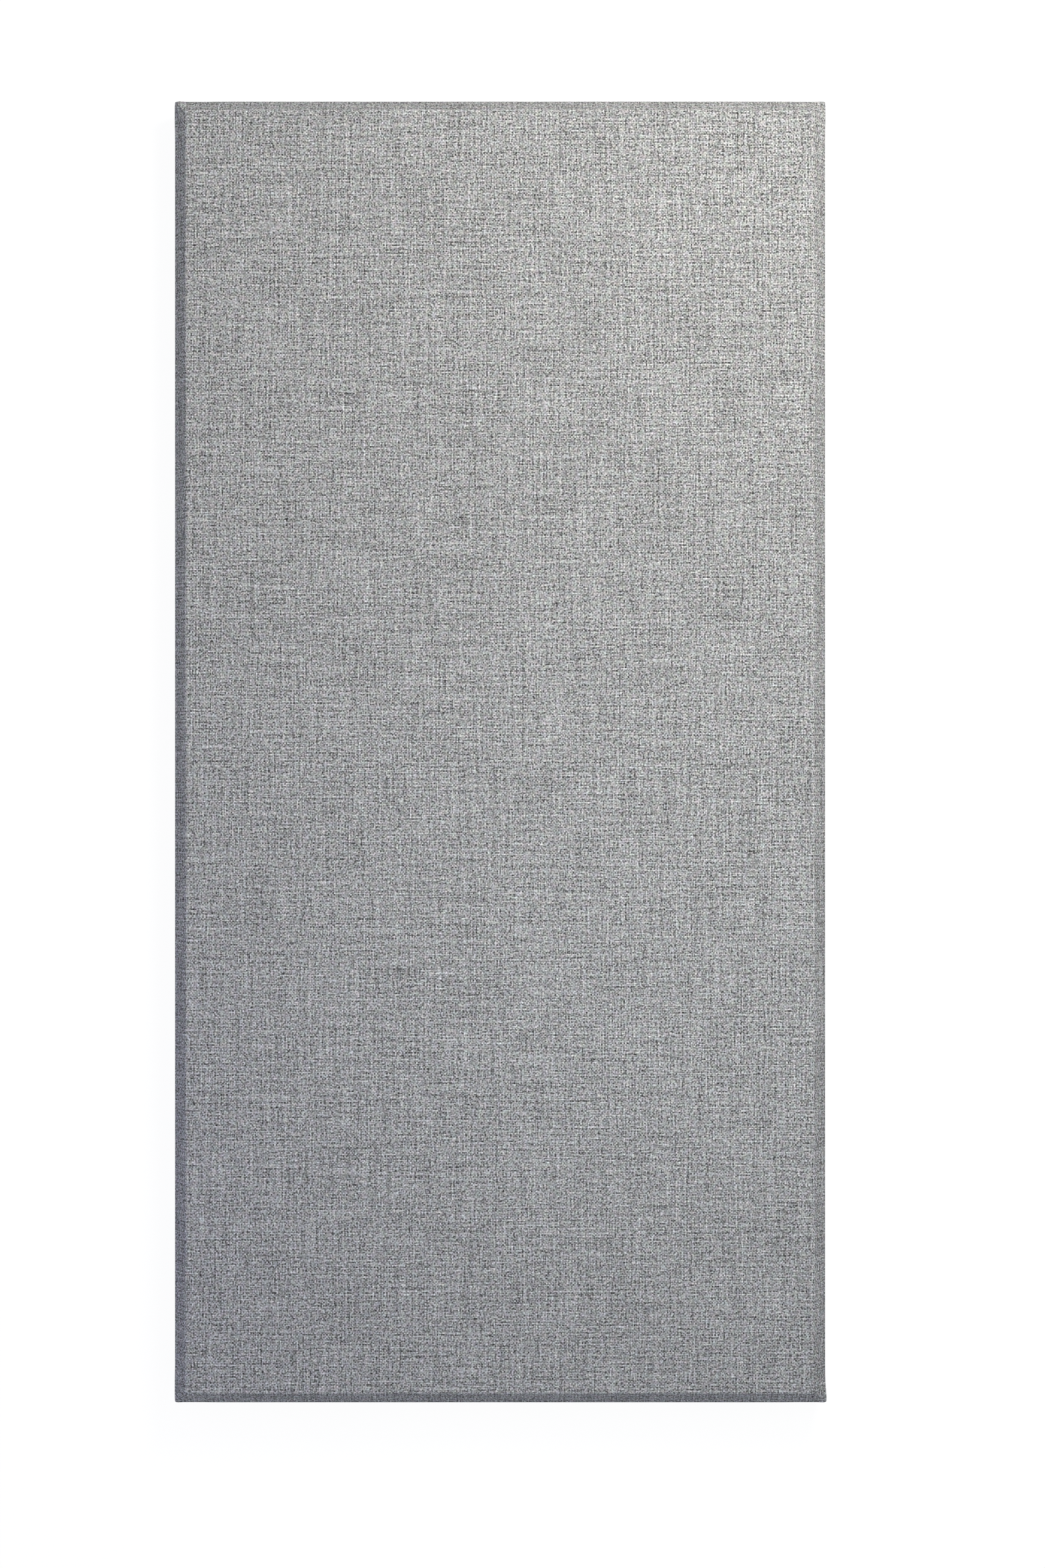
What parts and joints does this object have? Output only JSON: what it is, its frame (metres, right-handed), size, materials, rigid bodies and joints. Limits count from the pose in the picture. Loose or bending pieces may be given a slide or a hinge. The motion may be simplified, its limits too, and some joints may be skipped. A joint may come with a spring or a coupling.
{
  "type": "fabric acoustic wall panel",
  "caption": "Fabric-wrapped acoustic wall panel: a bevelled board of rigid glass wool with a glass tissue back, covered by one woven cloth that returns onto the back.",
  "frame": {"origin": "middle of the back, on the plane of the glued border that lies against the wall", "axes": "+Z out of the face, towards the room; +Y along the length, up in the picture; +X across the width, to the right in the picture"},
  "size_m": [0.6096, 1.2208, 0.0508],
  "materials": {
    "glass_wool": "rigid resin-bonded glass wool, 96 kg per cubic metre, fibrous and matt",
    "glass_tissue": "thin non-woven glass tissue, matt",
    "woven_cloth": "plain weave polyester of grey melange yarn with slubs, matt"
  },
  "bodies": {
    "root": {"core_board": "glass_wool", "back_tissue": "glass_tissue", "fabric_cover": "woven_cloth"}
  },
  "joints": []
}
